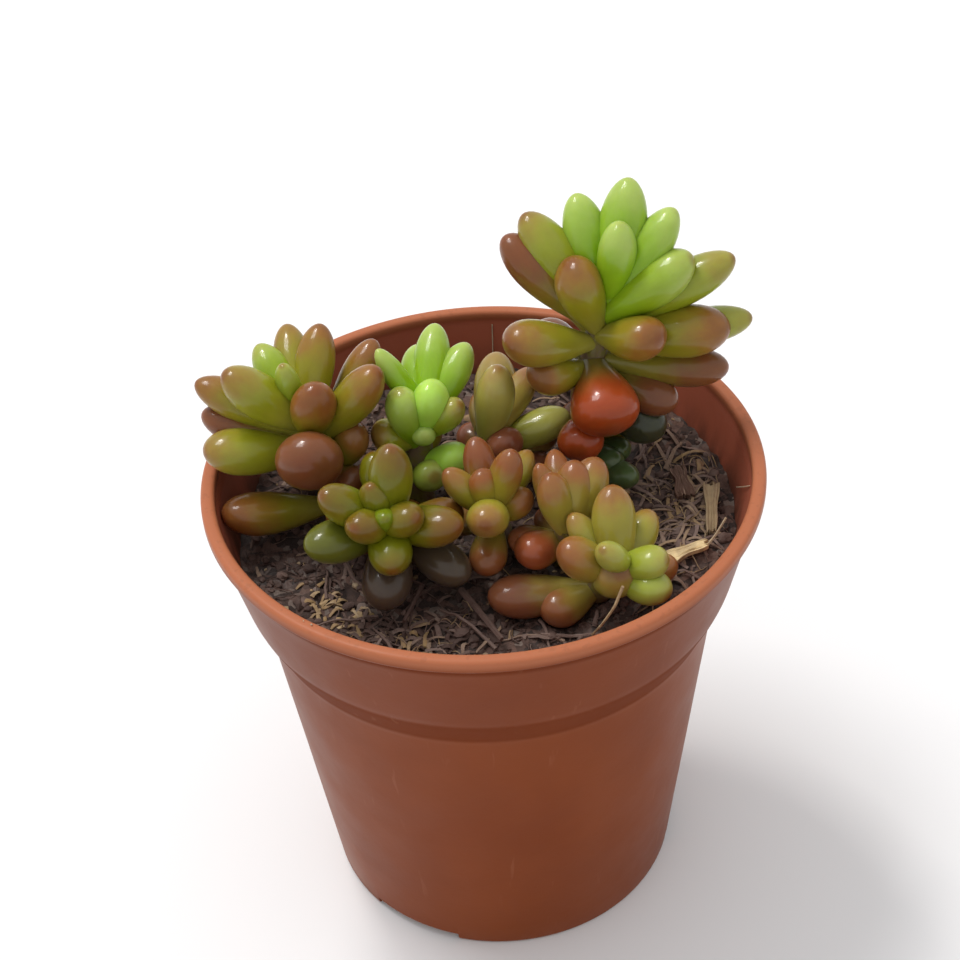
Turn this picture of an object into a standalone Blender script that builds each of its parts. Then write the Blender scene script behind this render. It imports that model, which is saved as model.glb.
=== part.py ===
"""A young jelly bean plant, a clump of eight leafy stems, in a round plastic nursery pot full of peat soil.

Metres, +Z up. The origin is on the pot's axis, at the surface that the pot stands on.
-Y is the side that the plant is usually seen from.
"""
import math

import bmesh
import bpy
from mathutils import Matrix, Vector, noise
from mathutils.bvhtree import BVHTree

MM = 0.001
FULL_TURN = 2 * math.pi
ROUND_SIDES = 48                 # sides of everything turned about the pot's axis
GAP = 0.3 * MM                   # kept between pieces that touch

# Pot: one thin moulding, a tapered body under a wider collar with a lip
RIM_RADIUS = 30.0 * MM
POT_HEIGHT = 55.0 * MM
WALL = 0.9 * MM
LIP_WIDTH = 1.5 * MM
LIP_HEIGHT = 1.4 * MM
LIP_ROUND = 0.35 * MM
COLLAR_LOW_RADIUS = 26.9 * MM
COLLAR_LOW = 42.8 * MM
BODY_TOP_RADIUS = 25.05 * MM
BODY_TOP = 39.05 * MM
FOOT_RADIUS = 20.3 * MM
FOOT_WIDTH = 1.6 * MM
FLOOR_UNDERSIDE = 1.5 * MM
FLOOR_THICKNESS = 1.0 * MM

# Drain notches in the foot ring, and drain holes in the floor
NOTCHES = 3
NOTCH_WIDTH = 11.0 * MM
NOTCH_HEIGHT = 1.2 * MM
FIRST_NOTCH = math.radians(237)
DRAIN_HOLES = 6
DRAIN_HOLE_RADIUS = 2.0 * MM
DRAIN_CIRCLE_RADIUS = 12.0 * MM

# Soil: lumpy top, a little higher on the right
SOIL_LEVEL = 47.2 * MM
SOIL_SLOPE = 0.02
SOIL_RINGS = 11
LUMPS = ((5.5 * MM, 1.0 * MM), (2.4 * MM, 0.45 * MM))   # size and height of the lumps, coarse then fine
LUMP_SEED = 3.7
LEAF_PRESS = 0.7 * MM            # soil stays this far below a leaf that lies on it
STEM_HOLE_DEPTH = 6.5 * MM
STEM_HOLE_CLEARANCE = 0.4 * MM
STEM_HOLE_LEAN = 0.7             # how far up its stem's lower half a hole follows it

# Stems and leaves
STEM_SIDES = 7
STEM_STATIONS = 6
STEM_RADIUS = (1.7 * MM, 1.2 * MM)   # at the soil, at the crown
STEM_ROOT_LENGTH = 5.0 * MM
LEAF_SIDES = 7
LEAF_RINGS = 6
LEAF_FLATNESS = 0.88                 # thickness over width
LEAF_CURL = 0.07                     # how far the tip curves up, over the leaf's length
OLD_LEAF = 6.0                       # mm below the crown from which leaves are fully club-shaped
YOUNG_SHAPE = (0.55, 0.66, 0.54, 1.0)    # bean: where it is widest, width of its root, point, neck
OLD_SHAPE = (0.70, 0.34, 0.50, 1.5)      # club

# Each leafy stem: its line (root at the soil, middle, crown, in mm), then its leaves from the crown down.
# A leaf: mm below the crown, turn and rise in degrees, length and width in mm.
LEAFY_STEMS = {
    # Tall rosette at the back right
    "leafy_stem_1": (((11.5, 7, 46), (12, 7.5, 59), (14.5, 9, 70)), (
        (0, -12, 78, 8.5, 4.7), (0.5, 58, 60, 12.5, 5.3), (1.5, 114, 56, 12, 4.9),
        (1, 14, 46, 12, 4.9), (2.5, -6, 32, 11.5, 5.7), (2.5, 150, 44, 13.5, 5.4),
        (4.5, -166, 68, 9.5, 5.8), (3.5, 4, 20, 15.5, 5), (4, 158, 38, 14, 5.2),
        (5, -45, 15, 9, 5.4), (6, -152, 18, 12, 5.6), (5, -8, 1, 14, 6.2),
        (5.5, -2, 2, 16.5, 4.4), (8, -82, -24, 9.5, 7.4), (8, -8, -8, 14.5, 4.8),
        (9, -145, 12, 8.5, 4.8), (9.5, -22, -18, 10, 4.8), (12, -28, -24, 9.5, 5.2),
        (15, -100, 2, 8, 5), (19, -60, -2, 6, 3.6), (20, -26, 12, 5.5, 3.2), (21, -55, 10, 9, 3.4),
        # far side and low down
        (4, 60, 30, 11, 4.8), (5.5, 110, 20, 11, 5), (7, 70, 5, 10, 5),
        (9, 30, -8, 9, 5), (9, 125, -5, 9.5, 5), (11, 85, -18, 8, 4.8),
        (14, 0, -5, 7.5, 4.6), (16, 80, 0, 7, 4.4),
        (18, 20, 0, 7, 4.4), (19, 95, 3, 6, 4.2), (20, -90, 8, 6, 4))),
    # Rosette at the left, with one long old leaf low down
    "leafy_stem_2": (((-15.5, 1.5, 46), (-17, 3, 54), (-19, 4.5, 60.5)), (
        (0, -156, 74, 6.5, 3), (0, 126, 28, 8.5, 4), (0.5, 98, 26, 10.5, 4.2),
        (1.5, 74, 42, 10.5, 4.4), (3, -70, 64, 8.5, 5), (1.5, -172, 40, 11, 5.4),
        (2.5, 170, 22, 13, 4.6), (5, -166, 10, 12.5, 5.6), (4.5, 174, 14, 12.6, 4.6),
        (5, -95, 23, 9, 7.2), (4, -2, 46, 12, 5), (5, 54, 26, 11.5, 4),
        (5.5, 51, 37, 13.5, 4), (12, -157, 10, 13.2, 5.2), (8, -8, 52, 7.5, 4.4),
        # far side and low down
        (4, 110, 12, 10, 4.6), (6, 145, 0, 10, 4.6), (7, 75, -5, 9, 4.6), (8, -48, 8, 6, 4.2),
        (10, 120, 0, 8, 4.4), (12, 45, 0, 7, 4.2), (13, -85, 8, 6, 4.2))),
    # Bright green growth in the middle
    "leafy_stem_3": (((-7, 3.5, 46), (-6.7, 4, 54), (-5.5, 5, 60)), (
        (4, -20, 70, 7.5, 4.6), (0.5, 78, 28, 9.5, 4), (0.5, 96, 14, 8, 4.4),
        (2, 45, 30, 9.5, 4), (1, 160, 50, 8.5, 2.8), (6, -158, 74, 9, 4.4),
        (7.2, -28, 16, 6.2, 4), (4, -16, 42, 7, 3.6), (4, -80, 32, 4, 2.6),
        (8.5, -66, 22, 5.2, 4),
        # far side and low down
        (4, 90, 15, 8, 3.8), (4.5, -172, 12, 5.4, 4.2), (7, 80, -5, 6, 3.6), (7.5, -164, 5, 5, 4),
        (10, 115, 0, 6.5, 3.8), (10, 35, 0, 5, 3.6))),
    # Pale stem behind the middle
    "leafy_stem_4": (((2, 7.5, 46), (1.5, 6, 52), (0.5, 5, 56)), (
        (1, -12, 76, 9, 4.8), (1, 52, 14, 9.5, 3.7), (2, 80, 22, 10.5, 4.8),
        (3, 12, 9, 9, 4.3), (3, -60, 30, 5, 4.2), (3, 95, 5, 8, 4), (5, 30, -5, 8, 4.2),
        (6, 125, 0, 6.5, 3.8), (7, -15, 2, 6, 3.8), (7, 75, 2, 6.5, 3.8))),
    # Star of round tips at the front left, leaning out
    "leafy_stem_5": (((-8, -2, 46), (-9, -6, 52), (-10.5, -11, 57.5)), (
        (0, -82, 36, 5, 2.9), (0.5, -114, 70, 6, 3.5), (0, -18, 62, 4.5, 2.6),
        (0.5, -116, 26, 6.5, 4.2), (0.5, -48, 28, 6.5, 4.2), (1.5, 0, 78, 9.5, 5.2),
        (2, -154, 40, 9.5, 4.6), (1.5, -84, -8, 7.5, 4.5), (2.5, -36, 14, 9.5, 4.8),
        (3.5, -144, 8, 10.5, 5), (4.5, -97, -24, 10, 5.2), (5, -45, -14, 10.5, 4.6),
        (9, 125, 50, 9, 4.2), (5, -5, 8, 7.5, 4.4), (6, 178, 12, 7.5, 4.4),
        (9, -160, 8, 7.5, 4.2), (11, 85, 5, 4.4, 3.6), (10, -75, 5, 5, 3.8))),
    # Small reddish stem at the front middle
    "leafy_stem_6": (((1.5, -3, 46), (1, -6, 52), (0.5, -9, 56.5)), (
        (0.5, -95, 20, 6, 4.4), (0, 120, 70, 4.5, 3.4), (0, 20, 60, 4, 2.2),
        (1.5, 175, 45, 7, 3.4), (1, 18, 64, 7.5, 3.8), (2, 105, 45, 8, 3.5),
        (2, 52, 18, 8, 3.2), (4.5, -100, -12, 7.5, 4), (2.5, -18, 32, 5.3, 3.6), (5.5, 175, 0, 6, 3.6),
        (7, 100, 10, 5.5, 3.4))),
    # Small upright stem right of it
    "leafy_stem_7": (((8, -6, 46), (8, -9, 51), (8.5, -11.5, 55.5)), (
        (1, 158, 68, 7, 4), (1.5, 96, 28, 9, 3.2), (0.5, 72, 52, 7, 4.2),
        (1, 52, 42, 8, 4.4), (4, -176, 4, 6, 3.6), (3.5, -150, 2, 6, 4.4), (2, 122, 48, 7.8, 2.8),
        (5, 30, 5, 6.5, 3.6), (6.5, 110, 8, 5.5, 3.4))),
    # Yellow-green stem at the front right, with two old leaves on the soil
    "leafy_stem_8": (((10, -12, 46), (12, -15, 51), (13.5, -17, 55)), (
        (0, -136, 46, 5, 3.3), (1.5, 95, 50, 8.5, 4.5), (2.5, -168, 36, 7.5, 4.7),
        (1, -24, 22, 5.5, 4), (5, -74, 44, 6.5, 5), (2, 52, 18, 7.5, 3.7),
        (2.5, 138, 38, 7.5, 3.2), (2, -44, -2, 6.5, 4.1), (7, -174, -2, 11.6, 5),
        (7, -152, -8, 7, 4.6), (4, 0, 5, 7, 3.8), (5, 60, 0, 7, 3.8),
        (6.5, 60, 3, 5.5, 3.6))),
}

# Chips that lie on the soil: place (mm), turn and tip in degrees, size (mm), share of the width at the end
CHIP_CUTS = 3                    # steps along a chip
CHIP_ARCH = 0.3                  # how far its middle stands up, over its thickness
CHIP_WAVE = (0.15, 9.0)          # how much its width swells, and how fast along it
CHIPS = {
    "wood_chip": ((20.5, -9.5), 20, 8, (5.2, 2.0, 0.8), 0.5),
    "bark_chip_1": ((24.3, -2.2), 83, 4, (7.4, 1.3, 0.8), 1.4),
    "bark_chip_2": ((21.6, 2.4), 98, 10, (4.4, 2.1, 1.1), 0.7),
}

COLOURS = {
    "pot_plastic": ((0.42, 0.13, 0.06), 0.38),
    "peat": ((0.03, 0.02, 0.015), 0.95),
    "leaf": ((0.28, 0.30, 0.07), 0.3),
    "chip": ((0.45, 0.30, 0.15), 0.85),
}


def clear_scene():
    for item in list(bpy.data.objects):
        bpy.data.objects.remove(item, do_unlink=True)


def make_materials():
    """One plain Principled material for each finish."""
    made = {}
    for name, (colour, roughness) in COLOURS.items():
        material = bpy.data.materials.new(name)
        material.use_nodes = True
        shader = material.node_tree.nodes["Principled BSDF"]
        shader.inputs["Base Color"].default_value = (*colour, 1)
        shader.inputs["Roughness"].default_value = roughness
        shader.inputs["Metallic"].default_value = 0
        made[name] = material
    return made


def add_object(name, bm, material):
    """An object from a bmesh, shaded smooth up to 40 degrees."""
    mesh = bpy.data.meshes.new(name)
    bm.to_mesh(mesh)
    bm.free()
    mesh.materials.append(material)
    mesh.shade_smooth()
    mesh.set_sharp_from_angle(angle=math.radians(40))
    made = bpy.data.objects.new(name, mesh)
    bpy.context.scene.collection.objects.link(made)
    return made


def boolean(target, operation, tools):
    """Joins the tools to the target, or cuts them out of it, in one Boolean, then removes them."""
    group = bpy.data.collections.new("tools")
    bpy.context.scene.collection.children.link(group)
    for tool in tools:
        bpy.context.scene.collection.objects.unlink(tool)
        group.objects.link(tool)
    modifier = target.modifiers.new(operation, "BOOLEAN")
    modifier.operation = operation
    modifier.operand_type = "COLLECTION"
    modifier.collection = group
    modifier.solver = "EXACT"
    shape = bpy.data.meshes.new_from_object(target.evaluated_get(bpy.context.evaluated_depsgraph_get()))
    target.modifiers.remove(modifier)
    target.data = shape
    for tool in tools:
        bpy.data.objects.remove(tool, do_unlink=True)
    bpy.data.collections.remove(group)


def turned(profile):
    """A solid turned about the Z axis from (radius, height) points that start and end on the axis."""
    bm = bmesh.new()
    corners = [bm.verts.new((radius, 0, height)) for radius, height in profile]
    edges = [bm.edges.new(pair) for pair in zip(corners, corners[1:])]
    bmesh.ops.spin(bm, geom=corners + edges, axis=(0, 0, 1), cent=(0, 0, 0), steps=ROUND_SIDES,
                   angle=FULL_TURN, use_merge=True)
    bmesh.ops.remove_doubles(bm, verts=bm.verts, dist=0.001 * MM)
    bmesh.ops.recalc_face_normals(bm, faces=bm.faces)
    return bm


def ring_edges(ring):
    """The edges between neighbouring points of one ring."""
    members = set(ring)
    return list({edge for vert in ring for edge in vert.link_edges if edge.other_vert(vert) in members})


def tube(centres, radii, sides):
    """A closed tube through the centres, with a radius at each."""
    bm = bmesh.new()
    last = len(centres) - 1
    rings = []
    for index, (centre, radius) in enumerate(zip(centres, radii)):
        ahead = centres[min(index + 1, last)] - centres[max(index - 1, 0)]
        place = Matrix.Translation(centre) @ ahead.to_track_quat("Z", "Y").to_matrix().to_4x4()
        made = bmesh.ops.create_circle(bm, cap_ends=index in (0, last), segments=sides, radius=radius,
                                       matrix=place)
        rings.append(made["verts"])
    for lower, upper in zip(rings, rings[1:]):
        bmesh.ops.bridge_loops(bm, edges=ring_edges(lower) + ring_edges(upper))
    bmesh.ops.recalc_face_normals(bm, faces=bm.faces)
    return bm


def interpolate(points, height):
    """Radius at a height, on a line of (radius, height) points that goes up."""
    for (radius_a, height_a), (radius_b, height_b) in zip(points, points[1:]):
        if height <= height_b:
            share = max(0.0, (height - height_a) / (height_b - height_a))
            return radius_a + (radius_b - radius_a) * share
    return points[-1][0]


def inner_wall():
    """The inside of the pot's wall, from the floor up, as (radius, height) points."""
    floor_top = FLOOR_UNDERSIDE + FLOOR_THICKNESS
    taper = (BODY_TOP_RADIUS - FOOT_RADIUS) / BODY_TOP
    return [
        (FOOT_RADIUS + taper * floor_top - WALL, floor_top),
        (BODY_TOP_RADIUS - WALL, BODY_TOP),
        (COLLAR_LOW_RADIUS - WALL, COLLAR_LOW),
        (RIM_RADIUS - LIP_WIDTH, POT_HEIGHT - LIP_HEIGHT),
    ]


def make_pot(material):
    outside = [
        (0, FLOOR_UNDERSIDE),
        (FOOT_RADIUS - FOOT_WIDTH, FLOOR_UNDERSIDE),
        (FOOT_RADIUS - FOOT_WIDTH, 0),
        (FOOT_RADIUS, 0),
        (BODY_TOP_RADIUS, BODY_TOP),
        (COLLAR_LOW_RADIUS, COLLAR_LOW),
        (RIM_RADIUS - 2 * LIP_ROUND, POT_HEIGHT - LIP_HEIGHT - LIP_ROUND),
        (RIM_RADIUS, POT_HEIGHT - LIP_HEIGHT),
        (RIM_RADIUS, POT_HEIGHT - LIP_ROUND),
        (RIM_RADIUS - LIP_ROUND, POT_HEIGHT),
    ]
    lip_top = [
        (RIM_RADIUS - LIP_WIDTH + LIP_ROUND, POT_HEIGHT),
        (RIM_RADIUS - LIP_WIDTH, POT_HEIGHT - LIP_ROUND),
    ]
    inside = inner_wall()[::-1] + [(0, FLOOR_UNDERSIDE + FLOOR_THICKNESS)]
    pot = add_object("pot", turned(outside + lip_top + inside), material)
    boolean(pot, "DIFFERENCE", notch_cutters() + drain_cutters())
    return pot


def notch_cutters():
    """Blocks that cut the drain notches through the foot ring."""
    cutters = []
    for index in range(NOTCHES):
        turn = Matrix.Rotation(FIRST_NOTCH + FULL_TURN * index / NOTCHES, 4, "Z")
        size = Matrix.Diagonal((6 * FOOT_WIDTH, NOTCH_WIDTH, 2 * NOTCH_HEIGHT, 1))
        bm = bmesh.new()
        bmesh.ops.create_cube(bm, size=1, matrix=turn @ Matrix.Translation((FOOT_RADIUS, 0, 0)) @ size)
        cutters.append(add_object("notch", bm, None))
    return cutters


def drain_cutters():
    """Cylinders that cut the drain holes through the floor."""
    cutters = []
    for index in range(DRAIN_HOLES):
        turn = Matrix.Rotation(FULL_TURN * (index + 0.5) / DRAIN_HOLES, 4, "Z")
        middle = Vector((DRAIN_CIRCLE_RADIUS, 0, FLOOR_UNDERSIDE + FLOOR_THICKNESS / 2))
        bm = bmesh.new()
        bmesh.ops.create_cone(bm, cap_ends=True, segments=10, radius1=DRAIN_HOLE_RADIUS,
                              radius2=DRAIN_HOLE_RADIUS, depth=3 * FLOOR_THICKNESS,
                              matrix=turn @ Matrix.Translation(middle))
        cutters.append(add_object("drain", bm, None))
    return cutters


def stem_line(root, middle, crown):
    """Centres of a stem from below the soil to the crown, on a smooth curve through three points."""
    root, middle, crown = (Vector(point) * MM for point in (root, middle, crown))
    pull = 2 * middle - (root + crown) / 2
    centres = [root - Vector((0, 0, STEM_ROOT_LENGTH))]
    for index in range(STEM_STATIONS):
        share = index / (STEM_STATIONS - 1)
        centres.append((1 - share) ** 2 * root + 2 * share * (1 - share) * pull + share ** 2 * crown)
    return centres


def point_below_crown(centres, distance):
    """The point on a stem that far down from its crown."""
    for upper, lower in zip(centres[::-1], centres[-2::-1]):
        step = (lower - upper).length
        if distance <= step:
            return upper.lerp(lower, distance / step)
        distance -= step
    return centres[0]


def leaf_swell(along, club):
    """Half-width of a leaf at a share of its length: young leaves are beans, old ones are clubs."""
    widest, root, point, neck = (young + (old - young) * club for young, old in zip(YOUNG_SHAPE, OLD_SHAPE))
    if along < widest:
        return root + (1 - root) * math.sin(math.pi / 2 * along / widest) ** neck
    return max(0.0, 1 - ((along - widest) / (1 - widest)) ** 2) ** point


def make_leaf(base, club, turn, rise, length, width, material):
    """One bean-shaped leaf whose root is inside the stem."""
    bm = bmesh.new()
    bmesh.ops.create_uvsphere(bm, u_segments=LEAF_SIDES, v_segments=LEAF_RINGS, radius=1)
    place = Matrix.Translation(base) @ Matrix.Rotation(turn, 4, "Z") @ Matrix.Rotation(-rise, 4, "Y")
    for vert in bm.verts:
        along = (1 + vert.co.z) / 2
        out = math.hypot(vert.co.x, vert.co.y)
        swell = leaf_swell(along, club) * width / 2 / out if out > 0.01 else 0
        vert.co = place @ Vector((length * along, swell * vert.co.x,
                                  swell * LEAF_FLATNESS * vert.co.y + LEAF_CURL * length * along ** 2))
    return add_object("leaf", bm, material)


def make_leafy_stem(name, line, leaves, material):
    centres = stem_line(*line)
    thick, thin = STEM_RADIUS
    radii = [thick] + [thick + (thin - thick) * index / (STEM_STATIONS - 1) for index in range(STEM_STATIONS)]
    stem = add_object(name, tube(centres, radii, STEM_SIDES), material)
    grown = []
    for below, turn, rise, length, width in leaves:
        base = point_below_crown(centres, below * MM)
        club = min(1, below / OLD_LEAF)
        grown.append(make_leaf(base, club, math.radians(turn), math.radians(rise),
                               length * MM, width * MM, material))
    boolean(stem, "UNION", grown)
    return stem


def lumpy_height(x, y):
    """Height of the soil's top, before the leaves press on it."""
    height = SOIL_LEVEL + SOIL_SLOPE * x
    for size, rise in LUMPS:
        height += rise * noise.noise(Vector((x / size, y / size, LUMP_SEED)))
    return height


def pressed_height(x, y, leaves):
    """Height of the soil's top, kept under any leaf that lies on it."""
    height = lumpy_height(x, y)
    start = SOIL_LEVEL - STEM_HOLE_DEPTH
    for shift_x, shift_y in ((0, 0), (MM, 0), (-MM, 0), (0, MM), (0, -MM)):
        hit = leaves.ray_cast(Vector((x + shift_x, y + shift_y, start)), Vector((0, 0, 1)))[0]
        if hit and hit.z > SOIL_LEVEL - STEM_HOLE_DEPTH / 2:
            height = min(height, hit.z - LEAF_PRESS)
    return height


def make_soil(material, stems):
    wall = [(radius - GAP, height) for radius, height in inner_wall()]
    bottom = FLOOR_UNDERSIDE + FLOOR_THICKNESS + GAP
    edge_radius = interpolate(wall, SOIL_LEVEL)
    top = [(edge_radius * index / SOIL_RINGS, SOIL_LEVEL) for index in range(SOIL_RINGS + 1)]
    side = [wall[2], wall[1], (wall[0][0], bottom), (0, bottom)]
    bm = turned(top + side)
    graph = bpy.context.evaluated_depsgraph_get()
    trees = [BVHTree.FromObject(stem, graph) for stem in stems]
    for vert in bm.verts:
        if vert.co.z < SOIL_LEVEL - 0.01 * MM:
            continue
        x, y = vert.co.x, vert.co.y
        height = min(pressed_height(x, y, tree) for tree in trees)
        if math.hypot(x, y) > edge_radius - GAP:
            shrink = interpolate(wall, height) / edge_radius
            x, y = x * shrink, y * shrink
        vert.co = (x, y, height)
    soil = add_object("soil", bm, material)
    boolean(soil, "DIFFERENCE", stem_hole_cutters())
    return soil


def stem_hole_cutters():
    """Plain round holes in the soil, one for each stem."""
    cutters = []
    for (root, middle, _), _ in LEAFY_STEMS.values():
        low = Vector(root) * MM - Vector((0, 0, STEM_HOLE_DEPTH - STEM_HOLE_CLEARANCE))
        centres = [low, Vector(root) * MM, Vector(root).lerp(Vector(middle), STEM_HOLE_LEAN) * MM]
        radius = STEM_RADIUS[0] + STEM_HOLE_CLEARANCE
        cutters.append(add_object("hole", tube(centres, [radius] * len(centres), STEM_SIDES + 1), None))
    return cutters


def make_chip(name, place, turn, tip, size, narrow, material, soil):
    """A flat splinter, narrower at one end, that rests on the soil's highest lump below it."""
    length, width, thick = (value * MM for value in size)
    bm = bmesh.new()
    bmesh.ops.create_cube(bm, size=1, matrix=Matrix.Diagonal((length, width, thick, 1)))
    lengthwise = [edge for edge in bm.edges if edge.verts[0].co.x != edge.verts[1].co.x]
    bmesh.ops.subdivide_edges(bm, edges=lengthwise, cuts=CHIP_CUTS, use_grid_fill=True)
    spin = Matrix.Rotation(math.radians(turn), 4, "Z") @ Matrix.Rotation(math.radians(-tip), 4, "Y")
    swell, speed = CHIP_WAVE
    for vert in bm.verts:
        along = vert.co.x / length + 0.5
        vert.co.y *= 1 - (1 - narrow) * along + swell * math.sin(speed * along)
        vert.co.z += CHIP_ARCH * thick * math.sin(math.pi * along)
        vert.co = spin @ vert.co
    ground = BVHTree.FromObject(soil, bpy.context.evaluated_depsgraph_get())
    middle = Vector((place[0] * MM, place[1] * MM, 0))
    lift = 0
    for vert in bm.verts:
        above = Vector((vert.co.x + middle.x, vert.co.y + middle.y, POT_HEIGHT))
        hit = ground.ray_cast(above, Vector((0, 0, -1)))[0]
        if hit:
            lift = max(lift, hit.z - vert.co.z)
    middle.z = lift + GAP
    bmesh.ops.translate(bm, verts=bm.verts, vec=middle)
    return add_object(name, bm, material)


clear_scene()
finish = make_materials()
make_pot(finish["pot_plastic"])
plants = [make_leafy_stem(name, line, leaves, finish["leaf"]) for name, (line, leaves) in LEAFY_STEMS.items()]
ground = make_soil(finish["peat"], plants)
for chip_name, chip in CHIPS.items():
    make_chip(chip_name, *chip, finish["chip"], ground)
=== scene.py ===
# %% [markdown]
# # A potted jelly bean plant
#
# The jelly bean plant is a small stonecrop with fat leaves, full of water, that turn from green to red in
# the sun. This is a young one, in the plastic pot it is sold in.
#
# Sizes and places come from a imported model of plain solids, which is loaded first and stays as it is. The
# pieces made here are finer, and stand for the plain ones.

# %% Load the plain solids
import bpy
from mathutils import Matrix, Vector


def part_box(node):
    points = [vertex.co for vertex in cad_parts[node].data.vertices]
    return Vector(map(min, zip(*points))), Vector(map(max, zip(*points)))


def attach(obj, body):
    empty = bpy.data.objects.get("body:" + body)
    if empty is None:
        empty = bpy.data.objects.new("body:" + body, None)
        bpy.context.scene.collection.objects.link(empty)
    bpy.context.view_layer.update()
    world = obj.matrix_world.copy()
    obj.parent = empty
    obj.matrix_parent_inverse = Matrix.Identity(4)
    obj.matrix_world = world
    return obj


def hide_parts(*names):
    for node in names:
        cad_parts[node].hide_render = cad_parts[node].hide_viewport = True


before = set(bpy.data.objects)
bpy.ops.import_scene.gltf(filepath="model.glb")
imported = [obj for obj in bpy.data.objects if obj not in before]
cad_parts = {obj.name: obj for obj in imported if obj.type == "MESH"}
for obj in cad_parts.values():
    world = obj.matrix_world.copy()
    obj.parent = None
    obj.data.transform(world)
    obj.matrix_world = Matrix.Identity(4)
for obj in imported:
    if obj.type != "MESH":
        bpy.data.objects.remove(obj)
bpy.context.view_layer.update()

# %% Modules and units
import functools
import math
import random

import bmesh
import bpy
from mathutils import Matrix, Vector, noise
from mathutils.bvhtree import BVHTree

MM = 0.001
FULL_TURN = 2 * math.pi
UP = Vector((0, 0, 1))
scene = bpy.context.scene


def put(name, data):
    """A new object in the scene."""
    item = bpy.data.objects.new(name, data)
    scene.collection.objects.link(item)
    return item


def aimed(turn, rise):
    """Turns the X axis to a direction and up from the level, both in degrees."""
    return Matrix.Rotation(math.radians(turn), 4, "Z") @ Matrix.Rotation(math.radians(-rise), 4, "Y")

# %% [markdown]
# ## Camera
#
# The plant is looked down on from the front, as one would hold a phone over it. A Track To constraint could
# aim the camera, but three turns are plainer: about the upright axis, down to the soil, and a slight roll,
# because the phone wasn't level.

# %% Camera
RIM_HEIGHT = 55 * MM
CAMERA_DISTANCE = 210 * MM  # from the middle of the rim
CAMERA_ABOVE = math.radians(38.85)  # its height above the rim, as an angle
CAMERA_PITCH = math.radians(39.3)  # how far down it looks
CAMERA_YAW = math.radians(-0.115)
CAMERA_ROLL = math.radians(-3.61)
CAMERA_LENS = 74.1

camera = put("camera", bpy.data.cameras.new("camera"))
camera.data.lens = CAMERA_LENS
camera.data.clip_start = 10 * MM
toward_camera = Vector((0, -math.cos(CAMERA_ABOVE), math.sin(CAMERA_ABOVE)))
camera_spot = Matrix.Translation(Vector((0, 0, RIM_HEIGHT)) + CAMERA_DISTANCE * toward_camera)
aim = Matrix.Rotation(-CAMERA_YAW, 4, "Z") @ Matrix.Rotation(math.pi / 2 - CAMERA_PITCH, 4, "X")
camera.matrix_world = camera_spot @ aim @ Matrix.Rotation(CAMERA_ROLL, 4, "Z")
scene.camera = camera

# %% [markdown]
# ## Building finishes from nodes
#
# Each finish is a Principled shader. Its colour is laid on in layers, each with a mask from noise, from the
# height above the table, or from values in the mesh. Writing out each node and link would bury the idea, so
# short helpers make a node, feed it and return what comes out.

# %% Node helpers
def feed(socket, value):
    """Links a socket to another one, or sets its value. A colour is given as red, green and blue."""
    if isinstance(value, bpy.types.NodeSocket):
        value.id_data.links.new(value, socket)
    else:
        socket.default_value = (*value, 1) if socket.type == "RGBA" else value


def add_node(kind, inputs, **settings):
    """A node fed by name or number of its inputs, in the tree of the first socket that feeds it."""
    inputs = dict(inputs)
    tree = next(value.id_data for value in inputs.values() if isinstance(value, bpy.types.NodeSocket))
    node = tree.nodes.new("ShaderNode" + kind)
    for setting, value in settings.items():
        setattr(node, setting, value)
    for label, value in inputs.items():
        feed(node.inputs[label], value)
    return node


def stored(tree, name):
    """What a mesh stores under a name."""
    node = tree.nodes.new("ShaderNodeAttribute")
    node.attribute_name = name
    return node.outputs


def calc(operation, *values):
    """The result of one step of arithmetic."""
    return add_node("Math", enumerate(values), operation=operation).outputs[0]


def times(*values):
    """The product of two values or more."""
    return functools.reduce(lambda first, second: calc("MULTIPLY", first, second), values)


def plus(base, *parts):
    """A value plus the product of each pair, such as a mask and its strength."""
    for mask, strength in parts:
        base = calc("MULTIPLY_ADD", mask, strength, base)
    return base


def ease(value, start, end):
    """0 at start, 1 at end, and smooth between."""
    inputs = {"Value": value, "From Min": start, "From Max": end}
    return add_node("MapRange", inputs, interpolation_type="SMOOTHSTEP").outputs[0]


def tint(share, first, second):
    """A colour between two others. The share and both colours may be values or sockets."""
    return add_node("Mix", {0: share, 6: first, 7: second}, data_type="RGBA").outputs[2]


def layered(colour, layers):
    """A colour with others over it. Each layer has a mask, its strength and its colour."""
    for mask, strength, over in layers:
        colour = tint(times(mask, strength), colour, over)
    return colour


def fog(vector, scale, detail=3):
    """Soft noise from 0 to 1, around 0.5."""
    return add_node("TexNoise", {"Vector": vector, "Scale": scale, "Detail": detail}).outputs["Fac"]


def stretched(vector, scale, turn=(0, 0, 0)):
    """Coordinates pulled or squeezed along X, Y and Z, so that a pattern runs in streaks."""
    return add_node("Mapping", {"Vector": vector, "Scale": scale, "Rotation": turn}).outputs[0]

# %% [markdown]
# ## Effects that several finishes share
#
# Blotches, fine grain and settled dust turn up on more than one of the plastic, leaf, wood and soil. With a
# copy in each material, a better blotch would have to be made four times over. So each is a node group,
# built once and used with other numbers.

# %% Shared effects
def effect(name, result, **numbers):
    """A node group with a vector and numbers as inputs: the group, its inputs and its one output."""
    group = bpy.data.node_groups.new(name, "ShaderNodeTree")
    group.interface.new_socket("Vector", in_out="INPUT", socket_type="NodeSocketVector")
    for label, value in numbers.items():
        socket = group.interface.new_socket(label, in_out="INPUT", socket_type="NodeSocketFloat")
        socket.default_value = value
    group.interface.new_socket(result, in_out="OUTPUT", socket_type="NodeSocketFloat")
    go = group.nodes.new("NodeGroupOutput").inputs[result]
    return group, group.nodes.new("NodeGroupInput").outputs, go


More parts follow.
